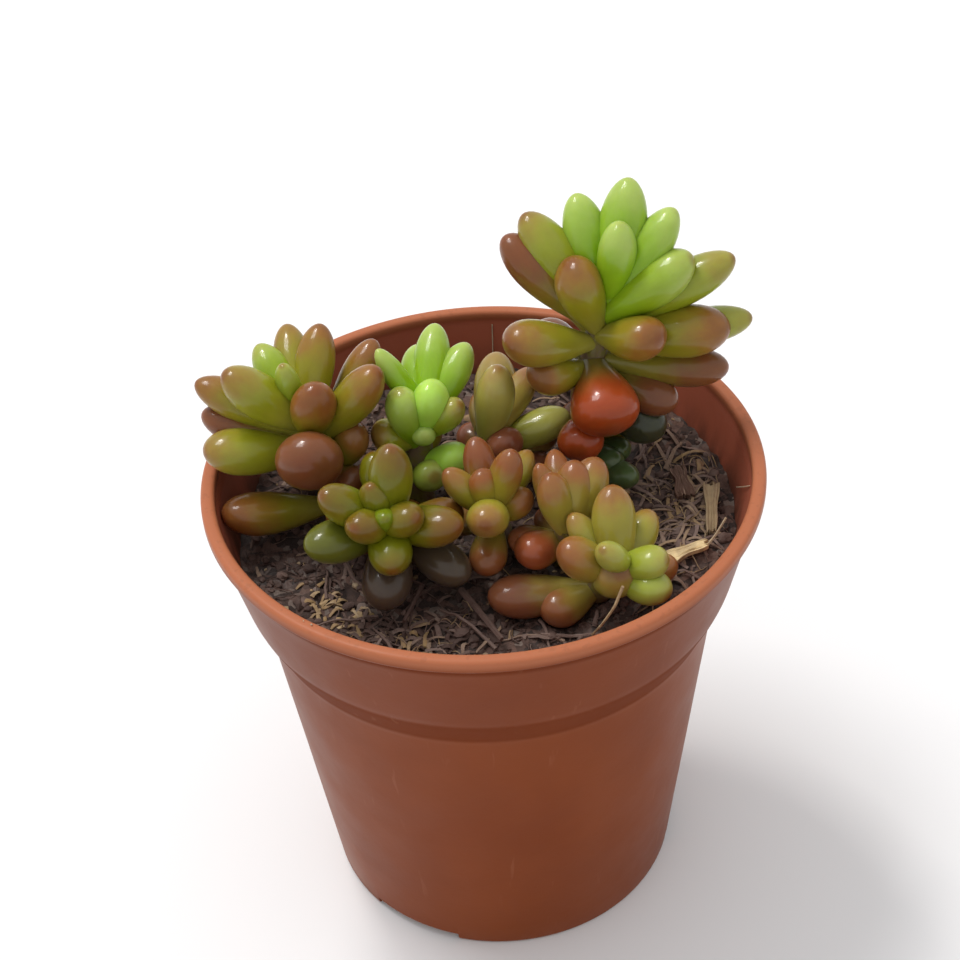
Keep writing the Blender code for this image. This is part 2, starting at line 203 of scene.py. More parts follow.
def use(group, vector, **numbers):
    """Places a group in a material, with its own numbers, and returns what comes out."""
    return add_node("Group", {"Vector": vector, **numbers}, node_tree=group).outputs[0]


def make_blotches():
    """Soft-edged patches, 0 between them and 1 on them."""
    group, come, mask = effect("blotches", "Mask", Scale=100, Softness=0.1)
    start = calc("SUBTRACT", 0.5, come["Softness"])
    end = calc("ADD", 0.5, come["Softness"])
    feed(mask, ease(fog(come["Vector"], come["Scale"], 5), start, end))
    return group


def make_grain():
    """A fine relief of two sizes of bump."""
    group, come, height = effect("grain", "Height", Scale=1000)
    fine = fog(come["Vector"], times(come["Scale"], 3.1))
    coarse = fog(come["Vector"], come["Scale"])
    feed(height, plus(coarse, (fine, 0.4)))
    return group


def make_settled_dust():
    """Specks that lie where a surface faces up."""
    group, come, mask = effect("settled dust", "Mask", Amount=0.5)
    normal = group.nodes.new("ShaderNodeNewGeometry").outputs["Normal"]
    level = ease(add_node("SeparateXYZ", {0: normal}).outputs["Z"], 0.2, 0.9)
    specks = ease(fog(come["Vector"], 1500, 2), 0.58, 0.68)
    feed(mask, times(level, specks, come["Amount"]))
    return group


blotches = make_blotches()
grain = make_grain()
settled_dust = make_settled_dust()
print("shared effects:", [group.name for group in bpy.data.node_groups])

# %% Finish and piece helpers
SMOOTH_UP_TO = math.radians(40)


def new_finish(name, paint):
    """A material. The function paint fills its node tree, from the piece's own coordinates on."""
    material = bpy.data.materials.new(name)
    material.use_nodes = True
    tree = material.node_tree
    paint(tree, tree.nodes.new("ShaderNodeTexCoord").outputs["Object"])
    return material


def coat(tree, surface, height=None, relief=0):
    """Feeds the Principled shader. The height goes from 0 to 1, and is as high as the relief."""
    shader = tree.nodes["Principled BSDF"]
    for label, value in surface.items():
        feed(shader.inputs[label], value)
    if height is not None:
        bump = add_node("Bump", {"Height": height, "Distance": relief})
        feed(shader.inputs["Normal"], bump.outputs[0])


def loose_object(name, bm, material=None):
    """An object from a bmesh, smooth except at sharp edges."""
    mesh = bpy.data.meshes.new(name)
    bm.to_mesh(mesh)
    bm.free()
    mesh.materials.append(material)
    mesh.shade_smooth()
    mesh.set_sharp_from_angle(angle=SMOOTH_UP_TO)
    return put(name, mesh)


def hand_over(piece, slot, *nodes):
    """Makes a piece part of the plant. It stands for its plain solids."""
    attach(piece, "root")
    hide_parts(*nodes)
    triangles = sum(len(face.vertices) - 2 for face in piece.data.polygons)
    print(f"{piece.name}: {triangles} triangles")
    return piece


def combine(target, operation, tools):
    """Joins the tools to the target, or cuts them out of it, and removes them."""
    group = bpy.data.collections.new("tools")
    scene.collection.children.link(group)
    for tool in tools:
        scene.collection.objects.unlink(tool)
        group.objects.link(tool)
    modifier = target.modifiers.new(operation, "BOOLEAN")
    modifier.operation = operation
    modifier.operand_type = "COLLECTION"
    modifier.collection = group
    modifier.solver = "MANIFOLD"
    shape = bpy.data.meshes.new_from_object(target.evaluated_get(bpy.context.evaluated_depsgraph_get()))
    target.modifiers.remove(modifier)
    target.data = shape
    shape.set_sharp_from_angle(angle=SMOOTH_UP_TO)
    for tool in tools:
        bpy.data.objects.remove(tool, do_unlink=True)
    bpy.data.collections.remove(group)


def surface_of(piece):
    """A piece's surface, for rays and for the nearest point."""
    return BVHTree.FromObject(piece, bpy.context.evaluated_depsgraph_get())

# %% [markdown]
# ## Plastic of the pot
#
# Nursery pots are thin terracotta-coloured polypropylene, satin and nearly even, with soft blotches, scuffs
# from stacking, peat dust on level faces and a tide mark of peat inside. Light and shade are painted in too:
# the lip is painted paler, as if lit, the inner wall paler and pinker than the outside, and painted shade
# darkens the step below the collar, a band under the lip and, faintly, the collar. A photograph could be
# laid over it, but noise stays sharp from any distance.

# %% Pot sizes
POT_HEIGHT = RIM_HEIGHT
RIM_RADIUS = 30 * MM
MOUTH_RADIUS = RIM_RADIUS - 1.5 * MM
WALL = 0.9 * MM
LIP_LOW = POT_HEIGHT - 1.4 * MM
COLLAR_LOW_RADIUS = 26.9 * MM
COLLAR_LOW = 42.8 * MM
BODY_TOP_RADIUS = 25.05 * MM
BODY_TOP = 39.05 * MM
FOOT_RADIUS = 20.3 * MM
FOOT_WIDTH = 1.6 * MM
FLOOR_UNDERSIDE = 1.5 * MM
FLOOR_TOP = 2.5 * MM
NOTCHES = 3
NOTCH_WIDTH = 11 * MM
NOTCH_HEIGHT = 1.2 * MM
FIRST_NOTCH = math.radians(237)
DRAIN_HOLES = 6
DRAIN_HOLE_RADIUS = 2 * MM
DRAIN_CIRCLE_RADIUS = 12 * MM
SOIL_LEVEL = 47.2 * MM
TERRACOTTA = (0.225, 0.048, 0.008)
POT_DEEP = (0.19, 0.038, 0.006)
LIP_PAINTED_LIGHT = (0.51, 0.18, 0.09)  # painted light: the lip is painted paler, as if lit
# Painted light: the inner wall is painted paler and pinker than the same plastic outside
INSIDE_PAINTED_LIGHT = (0.39, 0.108, 0.062)
POT_PAINTED_SHADE = (0.10, 0.014, 0.001)  # painted shade: the step, right under the lip, and faintly the collar
SCUFF = (0.55, 0.27, 0.17)
PEAT_STAIN = (0.075, 0.035, 0.022)

# %% Pot finish
def paint_pot(tree, where):
    x, y, z = add_node("SeparateXYZ", {0: where}).outputs
    radius = calc("SQRT", plus(times(x, x), (y, y)))
    flare = (RIM_RADIUS - COLLAR_LOW_RADIUS) / (POT_HEIGHT - COLLAR_LOW)
    mid_wall = plus(COLLAR_LOW_RADIUS - 0.5 * MM, (calc("SUBTRACT", z, COLLAR_LOW), flare))
    below_lip = ease(z, LIP_LOW + 0.7 * MM, LIP_LOW - 0.1 * MM)
    above_step = calc("GREATER_THAN", z, COLLAR_LOW + 0.5 * MM)
    inside = times(calc("LESS_THAN", radius, mid_wall), below_lip, above_step)
    near_soil = ease(z, SOIL_LEVEL + 4.5 * MM, SOIL_LEVEL - 0.5 * MM)
    smear = ease(fog(stretched(where, (1, 1, 0.4)), 420, 6), 0.72, 0.38)
    stain = times(inside, near_soil, smear)

    streaks = fog(stretched(where, (1, 1, 0.12), (0.35, 0.2, 0)), 900, 2)
    worn_places = use(blotches, where, Scale=90)
    scuffs = times(ease(streaks, 0.66, 0.74), worn_places)

    # Painted shade on the step below the collar and on a band right under the lip
    shade = 0
    for low, high in ((BODY_TOP, COLLAR_LOW), (LIP_LOW - 1.1 * MM, LIP_LOW - 0.2 * MM)):
        above = ease(z, low - 0.5 * MM, low + 0.3 * MM)
        below = ease(z, high + 0.5 * MM, high - 0.3 * MM)
        shade = plus(shade, (above, below))
    patches = use(blotches, where, Scale=70, Softness=0.25)
    # Painted shade: the collar is painted a little darker
    shaded_collar = ease(z, COLLAR_LOW - 0.3 * MM, COLLAR_LOW + 0.5 * MM)
    # Painted light: the lip is painted paler, as if lit
    lit_lip = ease(z, LIP_LOW - 0.2 * MM, POT_HEIGHT - 0.3 * MM)
    dust = use(settled_dust, where, Amount=0.12)
    uneven = use(blotches, where, Scale=160, Softness=0.3)
    coat(tree, {
        "Base Color": layered(TERRACOTTA, (
            (patches, 1, POT_DEEP),
            (shaded_collar, 0.2, POT_PAINTED_SHADE),
            (shade, 0.5, POT_PAINTED_SHADE),
            (lit_lip, 0.75, LIP_PAINTED_LIGHT),
            # painted light on the inner wall
            (inside, 0.9, INSIDE_PAINTED_LIGHT),
            (scuffs, 0.08, SCUFF),
            (stain, 0.8, PEAT_STAIN),
            (dust, 1, PEAT_STAIN))),
        "Roughness": plus(0.34, (uneven, 0.1), (stain, 0.35), (shade, 0.35)),
        "Specular IOR Level": 0.13,
        "Subsurface Weight": 0.08,
        "Subsurface Radius": (1, 0.35, 0.15),
        "Subsurface Scale": 1.2 * MM,
    }, use(grain, where, Scale=900), 0.012 * MM)


pot_finish = new_finish("terracotta plastic", paint_pot)

# %% [markdown]
# ## Pot
#
# The pot is one thin moulding: a tapered body, a short step, a wider collar and a rolled lip, on a ring foot
# with three notches. It could be cut from cylinders, but here half of its outline is drawn, each corner gets
# its own bevel, and the line is spun about the axis. Notches and drain holes are then cut through it.

# %% Pot outline
# Radius, height and rounding of each corner, from the middle of the underside out, up and back down inside
body_taper = (BODY_TOP_RADIUS - FOOT_RADIUS) / BODY_TOP
POT_OUTLINE = (
    (0, FLOOR_UNDERSIDE, 0),
    (FOOT_RADIUS - FOOT_WIDTH, FLOOR_UNDERSIDE, 0.3 * MM),
    (FOOT_RADIUS - FOOT_WIDTH, 0, 0.3 * MM),
    (FOOT_RADIUS, 0, 0.5 * MM),
    (BODY_TOP_RADIUS, BODY_TOP, 0.9 * MM),
    (COLLAR_LOW_RADIUS, COLLAR_LOW, 1.2 * MM),
    (RIM_RADIUS - 0.7 * MM, LIP_LOW - 0.35 * MM, 0.25 * MM),
    (RIM_RADIUS, LIP_LOW, 0.3 * MM),
    (RIM_RADIUS, POT_HEIGHT, 0.5 * MM),
    (MOUTH_RADIUS, POT_HEIGHT, 0.5 * MM),
    (MOUTH_RADIUS, LIP_LOW, 0.4 * MM),
    (COLLAR_LOW_RADIUS - WALL, COLLAR_LOW, 1 * MM),
    (BODY_TOP_RADIUS - WALL, BODY_TOP, 0.8 * MM),
    (FOOT_RADIUS + body_taper * FLOOR_TOP - WALL, FLOOR_TOP, 0.8 * MM),
    (0, FLOOR_TOP, 0),
)
INNER_WALL = POT_OUTLINE[-2:-6:-1]  # from the floor up to the lip
POT_STEPS = 180
POT_ROUNDING_STEPS = 4
POT_LONGEST_EDGE = 3 * MM
POT_WOBBLE = 0.05 * MM  # how far the thin wall strays from a true circle
POT_WOBBLE_SIZE = 14 * MM


def turned(outline, steps):
    """A closed shape spun about the Z axis from a line that starts and ends on it."""
    bm = bmesh.new()
    corners = [bm.verts.new((radius, 0, height)) for radius, height, _ in outline]
    for pair in zip(corners, corners[1:]):
        bm.edges.new(pair)
    for corner, (_, _, rounding) in zip(corners, outline):
        if rounding:
            bmesh.ops.bevel(bm, geom=[corner], offset=rounding, offset_type="OFFSET",
                            segments=POT_ROUNDING_STEPS, profile=0.5, affect="VERTICES", material=-1)
    for edge in [edge for edge in bm.edges if edge.calc_length() > POT_LONGEST_EDGE]:
        bmesh.ops.subdivide_edges(bm, edges=[edge], cuts=int(edge.calc_length() / POT_LONGEST_EDGE))
    bmesh.ops.spin(bm, geom=bm.verts[:] + bm.edges[:], axis=UP, cent=(0, 0, 0), steps=steps,
                   angle=FULL_TURN, use_merge=True)
    bmesh.ops.remove_doubles(bm, verts=bm.verts, dist=0.001 * MM)
    bmesh.ops.recalc_face_normals(bm, faces=bm.faces)
    return bm


def cutters(shape, count, first_turn, place, **settings):
    """Closed shapes round the axis, at even turns."""
    for index in range(count):
        bm = bmesh.new()
        shape(bm, matrix=Matrix.Rotation(first_turn + FULL_TURN * index / count, 4, "Z") @ place, **settings)
        yield loose_object("cutter", bm)


pot_shape = turned(POT_OUTLINE, POT_STEPS)
for vert in pot_shape.verts:
    outward = Vector((vert.co.x, vert.co.y, 0)) / RIM_RADIUS
    vert.co += outward * POT_WOBBLE * noise.noise(vert.co / POT_WOBBLE_SIZE)
pot = loose_object("pot_moulding", pot_shape, pot_finish)
across_foot = Matrix.Diagonal((6 * FOOT_WIDTH, NOTCH_WIDTH, 2 * NOTCH_HEIGHT, 1))
notches = cutters(bmesh.ops.create_cube, NOTCHES, FIRST_NOTCH,
                  Matrix.Translation((FOOT_RADIUS, 0, 0)) @ across_foot, size=1)
drains = cutters(bmesh.ops.create_cone, DRAIN_HOLES, math.pi / DRAIN_HOLES,
                 Matrix.Translation((DRAIN_CIRCLE_RADIUS, 0, (FLOOR_UNDERSIDE + FLOOR_TOP) / 2)),
                 cap_ends=True, segments=32, radius1=DRAIN_HOLE_RADIUS, radius2=DRAIN_HOLE_RADIUS,
                 depth=3 * (FLOOR_TOP - FLOOR_UNDERSIDE))
combine(pot, "DIFFERENCE", [*notches, *drains])
hand_over(pot, "pot_plastic", "pot")

# %% [markdown]
# ## Skin of the leaves
#
# A leaf is full of water under a thin waxy skin, so light soaks in and comes out further on. It is lime
# green when young, milky towards its tip, and that milky tone is partly painted sheen. Sun turns it olive,
# then orange to deep red, from the tip down. Some colour is painted light and shade: the freshest leaves,
# which sit in shade, are painted a brighter lime, and the lowest leaves get a painted shade of dark green
# and dusky brown. A painted texture for each leaf would be a lot of work. Here one colour attribute holds
# four things at every corner: how far along its leaf it is, how red the leaf is, how old it is, and how
# flesh-coloured its stem's leaves are.

# %% Leaf finish
LIME = (0.26, 0.46, 0.010)
# Partly the leaf's own milky tone, partly painted sheen
MILKY_SHEEN = (0.58, 0.64, 0.24)
OLIVE = (0.29, 0.245, 0.006)
PALE_ROOT = (0.44, 0.40, 0.09)
OLD_GREEN = (0.17, 0.15, 0.025)
DULL_GREEN = (0.075, 0.12, 0.04)
# Painted shade: the dark green of low leaves in shade
PAINTED_SHADE_GREEN = (0.035, 0.04, 0.02)
SALMON = (0.33, 0.125, 0.03)
RUSSET = (0.27, 0.075, 0.014)
BRICK = (0.35, 0.055, 0.010)
DEEP_BROWN = (0.19, 0.065, 0.025)
TIP_RED = (0.20, 0.045, 0.010)
FLESH = (0.46, 0.30, 0.115)
ROSE = (0.36, 0.12, 0.07)
# Painted light: a brighter lime for the freshest leaves, which sit in shade
PAINTED_LIGHT_LIME = (0.50, 0.85, 0.10)
DEEP_OLIVE = (0.13, 0.13, 0.002)
DEEP_TAN = (0.155, 0.068, 0.006)
# Painted shade: the dusky brown of the star's lowest leaves
PAINTED_SHADE_BROWN = (0.085, 0.05, 0.035)
MOTTLE = (0.08, 0.05, 0.02)
STEM_BARK = (0.17, 0.11, 0.08)
STEM_REDNESS = 2  # a redness past 1 marks the stem


def paint_leaf(tree, where):
    growth = stored(tree, "growth")
    along, redness, age = add_node("SeparateColor", {0: growth["Color"]}).outputs
    paleness = growth["Alpha"]
    cloud = calc("SUBTRACT", fog(where, 330), 0.5)
    uneven_along = plus(along, (cloud, 0.5))

    def turning(start, end):
        """0 to 1 as the redness goes from start to end."""
        return ease(redness, start, end)

    root = times(ease(along, 0.55, 0.1), turning(0.9, 0.5))
    # A milky tone towards the tip: partly the leaf's own, partly painted sheen
    milky_sheen = times(ease(uneven_along, 0.4, 1.05), turning(0.8, 0), ease(paleness, -1, 0))
    green = layered(LIME, (
        (turning(0.05, 0.7), 1, OLIVE),
        (turning(0.4, 1), age, OLD_GREEN),
        (root, 0.5, tint(turning(0.3, 0.5), LIME, PALE_ROOT)),
        (milky_sheen, 0.5, MILKY_SHEEN),
        # painted light on the freshest leaves
        (turning(0.035, 0.01), 0.9, PAINTED_LIGHT_LIME),
        # Below 0, a dull green for old low leaves; further down, a darker green as painted shade
        (turning(0, -0.3), 1, DULL_GREEN),
        (turning(-0.4, -1), 1, PAINTED_SHADE_GREEN)))
    brown = times(turning(0.62, 0.76), turning(0.97, 0.88))
    red = layered(SALMON, (
        (turning(0.35, 0.8), 1, RUSSET),
        (brown, age, DEEP_BROWN),
        (ease(uneven_along, 0.8, 1.1), 0.8, DEEP_BROWN),
        (turning(0.94, 1), 1, BRICK)))

    start = calc("SUBTRACT", 1.07, redness)
    blush = times(ease(uneven_along, start, calc("ADD", start, 0.5)), turning(-0.5, 0.9))
    point = times(ease(along, 0.955, 1), turning(-0.1, 0.4))
    # On the star's leaves, a deeper olive and tan, and on its lowest leaves a painted shade of dusky brown
    deep_tone_and_shade = tint(turning(-0.3, -0.8), tint(blush, DEEP_OLIVE, DEEP_TAN), PAINTED_SHADE_BROWN)
    mottled = use(blotches, where, Scale=600, Softness=0.3)
    bark = tint(use(blotches, where, Scale=900, Softness=0.2), STEM_BARK, OLD_GREEN)
    uneven = use(blotches, where, Scale=700, Softness=0.35)
    coat(tree, {
        "Base Color": layered(green, (
            (blush, 1, red),
            (ease(paleness, 0, 1), 0.5, tint(blush, FLESH, ROSE)),
            (ease(paleness, 0, -1), 0.75, deep_tone_and_shade),
            (point, 0.5, TIP_RED),
            (mottled, 0.12, MOTTLE),
            (turning(1.2, 1.6), 1, bark))),
        "Roughness": plus(0.27, (uneven, 0.14)),
        "Subsurface Weight": 0.5,
        "Subsurface Radius": (1, 0.8, 0.25),
        "Subsurface Scale": 1.6 * MM,
        "Specular IOR Level": 0.18,
        "Coat Weight": 0.45,
        "Coat Roughness": 0.08,
    }, use(grain, where, Scale=1100), 0.02 * MM)


leaf_finish = new_finish("waxy leaf", paint_leaf)

# %% [markdown]
# ## Leafy stems
#
# A stem grows at its crown. New leaves start there, small and upright, and the older ones below lean out
# more and more. A rule of golden angles could scatter them, but these are placed one by one, as they grew.

# %% Leaf table
# Each leafy stem: its line (root at the soil, middle, crown, in mm), how flesh-coloured its leaves are
# (below 0: darker and more olive), then its leaves from the crown down. A leaf: mm below the crown, turn
# and rise in degrees, length and width in mm, redness (0 to 1; below 0: a dull green that darkens, with
# painted shade on the lowest leaves).
LEAFY_STEMS = (
    # Tall rosette at the back right
    (((11.5, 7, 46), (12, 7.5, 59), (14.5, 9, 70)), 0, (
        (0, -12, 78, 8.5, 4.7, 0.06), (0.5, 58, 60, 12.5, 5.3, 0.06), (1.5, 114, 56, 12, 4.9, 0.06),
        (1, 14, 46, 12, 4.9, 0.06), (2.5, -6, 32, 11.5, 5.7, 0.26), (2.5, 150, 44, 13.5, 5.4, 0.45),
        (4.5, -166, 68, 9.5, 5.8, 0.56), (3.5, 4, 20, 15.5, 5, 0.42), (4, 158, 38, 14, 5.2, 0.8),
        (5, -45, 15, 9, 5.4, 0.62), (6, -152, 18, 12, 5.6, 0.57), (5, -8, 1, 14, 6.2, 0.6),
        (5.5, -2, 2, 16.5, 4.4, 0.4), (8, -82, -24, 9.5, 7.4, 1), (8, -8, -8, 14.5, 4.8, 0.72),
        (9, -145, 12, 8.5, 4.8, 0.6), (9.5, -22, -18, 10, 4.8, 0.85), (12, -28, -24, 9.5, 5.2, -0.9),
        (15, -100, 2, 8, 5, 1), (19, -60, -2, 6, 3.6, -0.3), (20, -26, 12, 5.5, 3.2, -0.4),
        (21, -55, 10, 9, 3.4, -0.5), (4, 60, 30, 11, 4.8, 0.6), (5.5, 110, 20, 11, 5, 0.7),
        (7, 70, 5, 10, 5, 0.8), (9, 30, -8, 9, 5, 0.9), (9, 125, -5, 9.5, 5, 0.9),
        (11, 85, -18, 8, 4.8, 1), (14, 0, -5, 7.5, 4.6, 0.8), (16, 80, 0, 7, 4.4, 0.8),
        (18, 20, 0, 7, 4.4, 0.8), (19, 95, 3, 6, 4.2, 0.9), (20, -90, 8, 6, 4, 0.9))),
    # Rosette at the left, with one long old leaf low down
    (((-15.5, 1.5, 46), (-17, 3, 54), (-19, 4.5, 60.5)), 0, (
        (0, -156, 74, 6.5, 3, 0.35), (0, 126, 28, 8.5, 4, 0.3), (0.5, 98, 26, 10.5, 4.2, 0.55),
        (1.5, 74, 42, 10.5, 4.4, 0.6), (3, -70, 64, 8.5, 5, 0.68), (1.5, -172, 40, 11, 5.4, 0.5),
        (2.5, 170, 22, 13, 4.6, 0.57), (5, -166, 10, 12.5, 5.6, 0.5), (4.5, 174, 14, 12.6, 4.6, 0.8),
        (5, -95, 23, 9, 7.2, 0.88), (4, -2, 46, 12, 5, 0.6), (5, 54, 26, 11.5, 4, 0.6),
        (5.5, 51, 37, 13.5, 4, 0.62), (12, -157, 10, 13.2, 5.2, 0.64), (8, -8, 52, 7.5, 4.4, 0.6),
        (4, 110, 12, 10, 4.6, 0.6), (6, 145, 0, 10, 4.6, 0.7), (7, 75, -5, 9, 4.6, 0.8),
        (8, -48, 8, 6, 4.2, 0.8), (10, 120, 0, 8, 4.4, 0.9), (12, 45, 0, 7, 4.2, 0.9),
        (13, -85, 8, 6, 4.2, 0.9))),
    # Bright green growth in the middle
    (((-7, 3.5, 46), (-6.7, 4, 54), (-5.5, 5, 60)), 0, (
        (4, -20, 70, 7.5, 4.6, 0.02), (0.5, 78, 28, 9.5, 4, 0.05), (0.5, 96, 14, 8, 4.4, 0.04),
        (2, 45, 30, 9.5, 4, 0.12), (1, 160, 50, 8.5, 2.8, 0.1), (6, -158, 74, 9, 4.4, 0.22),
        (7.2, -28, 16, 6.2, 4, 0.02), (4, -16, 42, 7, 3.6, 0.4), (4, -80, 32, 4, 2.6, 0.05),
        (8.5, -66, 22, 5.2, 4, 0.3), (4, 90, 15, 8, 3.8, 0.5), (4.5, -172, 12, 5.4, 4.2, 0.5),
        (7, 80, -5, 6, 3.6, 0.7), (7.5, -164, 5, 5, 4, 0.7), (10, 115, 0, 6.5, 3.8, 0.8),
        (10, 35, 0, 5, 3.6, 0.8))),
    # Pale stem behind the middle
    (((2, 7.5, 46), (1.5, 6, 52), (0.5, 5, 56)), 1, (
        (1, -12, 76, 9, 4.8, 0.38), (1, 52, 14, 9.5, 3.7, 0.55), (2, 80, 22, 10.5, 4.8, 0.45),
        (3, 12, 9, 9, 4.3, 0.2), (3, -60, 30, 5, 4.2, 0.9), (3, 95, 5, 8, 4, 0.6),
        (5, 30, -5, 8, 4.2, 0.7), (6, 125, 0, 6.5, 3.8, 0.8), (7, -15, 2, 6, 3.8, 0.8),
        (7, 75, 2, 6.5, 3.8, 0.8))),
    # Star of round tips at the front left, leaning out
    (((-8, -2, 46), (-9, -6, 52), (-10.5, -11, 57.5)), -1, (
        (0, -82, 36, 5, 2.9, 0.1), (0.5, -114, 70, 6, 3.5, 0.4), (0, -18, 62, 4.5, 2.6, 0.3),
        (0.5, -116, 26, 6.5, 4.2, 0.52), (0.5, -48, 28, 6.5, 4.2, 0.5), (1.5, 0, 78, 9.5, 5.2, 0.48),
        (2, -154, 40, 9.5, 4.6, 0.45), (1.5, -84, -8, 7.5, 4.5, 0.42), (2.5, -36, 14, 9.5, 4.8, 0.6),
        (3.5, -144, 8, 10.5, 5, -0.3), (4.5, -97, -24, 10, 5.2, -1), (5, -45, -14, 10.5, 4.6, -0.8),
        (9, 125, 50, 9, 4.2, 0.4), (5, -5, 8, 7.5, 4.4, 0.8), (6, 178, 12, 7.5, 4.4, 0.8),
        (9, -160, 8, 7.5, 4.2, 0.9), (11, 85, 5, 4.4, 3.6, 0.9), (10, -75, 5, 5, 3.8, 0.9))),
    # Small reddish stem at the front middle
    (((1.5, -3, 46), (1, -6, 52), (0.5, -9, 56.5)), 0.35, (
        (0.5, -95, 20, 6, 4.4, 0.55), (0, 120, 70, 4.5, 3.4, 0.7), (0, 20, 60, 4, 2.2, 0.65),
        (1.5, 175, 45, 7, 3.4, 0.58), (1, 18, 64, 7.5, 3.8, 0.7), (2, 105, 45, 8, 3.5, 0.85),
        (2, 52, 18, 8, 3.2, 0.55), (4.5, -100, -12, 7.5, 4, 0.7), (2.5, -18, 32, 5.3, 3.6, 0.62),
        (5.5, 175, 0, 6, 3.6, 0.8), (7, 100, 10, 5.5, 3.4, 0.8))),
    # Small upright stem right of it
    (((8, -6, 46), (8, -9, 51), (8.5, -11.5, 55.5)), 0.5, (
        (1, 158, 68, 7, 4, 0.6), (1.5, 96, 28, 9, 3.2, 0.7), (0.5, 72, 52, 7, 4.2, 0.68),
        (1, 52, 42, 8, 4.4, 0.6), (4, -176, 4, 6, 3.6, 0.8), (3.5, -150, 2, 6, 4.4, 0.97),
        (2, 122, 48, 7.8, 2.8, 0.65), (5, 30, 5, 6.5, 3.6, 0.8), (6.5, 110, 8, 5.5, 3.4, 0.8))),
    # Yellow-green stem at the front right, with two old leaves on the soil
    (((10, -12, 46), (12, -15, 51), (13.5, -17, 55)), 0.45, (
        (0, -136, 46, 5, 3.3, 0.38), (1.5, 95, 50, 8.5, 4.5, 0.55), (2.5, -168, 36, 7.5, 4.7, 0.62),
        (1, -24, 22, 5.5, 4, 0.33), (5, -74, 44, 6.5, 5, 0.48), (2, 52, 18, 7.5, 3.7, 0.5),
        (2.5, 138, 38, 7.5, 3.2, 0.5), (2, -44, -2, 6.5, 4.1, 0.3), (7, -174, -2, 11.6, 5, 0.78),
        (7, -152, -8, 7, 4.6, 0.7), (4, 0, 5, 7, 3.8, 0.6), (5, 60, 0, 7, 3.8, 0.7),
        (6.5, 60, 3, 5.5, 3.6, 0.7))),
)

# %% [markdown]
# ## Leaf form
#
# A leaf is a bean, so it starts as a sphere whose rings are moved and scaled. Young leaves are spindles,
# widest in the middle; old ones are blunt clubs, widest past it. One formula turns the first into the second
# with age. Each leaf also bends a little, by a seeded draw.

# %% Leaf form
LEAF_SIDES = 28
LEAF_RINGS = 22
LEAF_FLATNESS = 0.88  # thickness over width
LEAF_CURL = 0.07  # how far the tip curves up, over the leaf's length
LEAF_SWAY = 0.03  # how far the tip may bend sideways, over the leaf's length
OLD_LEAF = 6  # mm below the crown from which leaves are fully club-shaped
YOUNG_SHAPE = (0.55, 0.66, 0.54, 1)  # where it is widest, width of its root, point, neck
OLD_SHAPE = (0.70, 0.34, 0.50, 1.5)
POLE = 0.001  # radius under which a point of the sphere is one of its poles


def leaf_swell(along, club):
    """Half-width of a leaf at a share of its length, over its greatest."""
    widest, root, point, neck = (young + (old - young) * club for young, old in zip(YOUNG_SHAPE, OLD_SHAPE))
    if along < widest:
        return root + (1 - root) * math.sin(math.pi / 2 * along / widest) ** neck
    return max(0, 1 - ((along - widest) / (1 - widest)) ** 2) ** point


def remember(bm, alongs, redness, age, paleness):
    """Stores what the finish needs in a colour attribute on every corner."""
    growth = bm.loops.layers.float_color.new("growth")
    for face in bm.faces:
        for loop in face.loops:
            loop[growth] = (alongs[loop.vert.index], redness, age, paleness)


def make_leaf(centres, leaf, paleness, draw):
    """One leaf, with its root inside the stem."""
    below, turn, rise, length, width, redness = leaf
    club = min(1, below / OLD_LEAF)
    length *= MM
    sway = draw.uniform(-LEAF_SWAY, LEAF_SWAY) * length
    place = Matrix.Translation(point_below_crown(centres, below * MM)) @ aimed(turn, rise)
    bm = bmesh.new()
    bmesh.ops.create_uvsphere(bm, u_segments=LEAF_SIDES, v_segments=LEAF_RINGS, radius=1)
    alongs = []
    for vert in bm.verts:
        along = (1 + vert.co.z) / 2
        alongs.append(along)
        out = math.hypot(vert.co.x, vert.co.y)
        swell = leaf_swell(along, club) * width * MM / 2 / out if out > POLE else 0
        vert.co = place @ Vector((length * along, swell * vert.co.x + sway * along ** 2,
                                  swell * LEAF_FLATNESS * vert.co.y + LEAF_CURL * length * along ** 2))
    remember(bm, alongs, redness, club, paleness)
    return loose_object("leaf", bm)

# %% Stem form
STEM_SIDES = 18
STEM_STATIONS = 30
STEM_RADIUS = (1.7 * MM, 1.2 * MM)  # at the soil, at the crown
STEM_ROOT_LENGTH = 5 * MM
STEM_KNOTS = 0.12  # how much the stem swells where leaves grew, over its radius
KNOT_SIZE = 1.6 * MM
STEM_ALONG = 0.3  # how far along a leaf the stem's skin counts as being


def stem_line(root, middle, crown):
    """Points of a stem from below the soil to the crown, on a curve through three points."""
    root, middle, crown = (Vector(point) * MM for point in (root, middle, crown))
    pull = 2 * middle - (root + crown) / 2
    centres = [root - STEM_ROOT_LENGTH * UP]
    for index in range(STEM_STATIONS):
        share = index / (STEM_STATIONS - 1)
        centres.append((1 - share) ** 2 * root + 2 * share * (1 - share) * pull + share ** 2 * crown)
    return centres


def point_below_crown(centres, distance):
    """The point on a stem that far down from its crown."""
    for upper, lower in zip(centres[::-1], centres[-2::-1]):
        step = (lower - upper).length
        if distance <= step:
            return upper.lerp(lower, distance / step)
        distance -= step
    return centres[0]


def ring_edges(ring):
    """The edges between neighbouring points of one ring."""
    members = set(ring)
    return list({edge for vert in ring for edge in vert.link_edges if edge.other_vert(vert) in members})


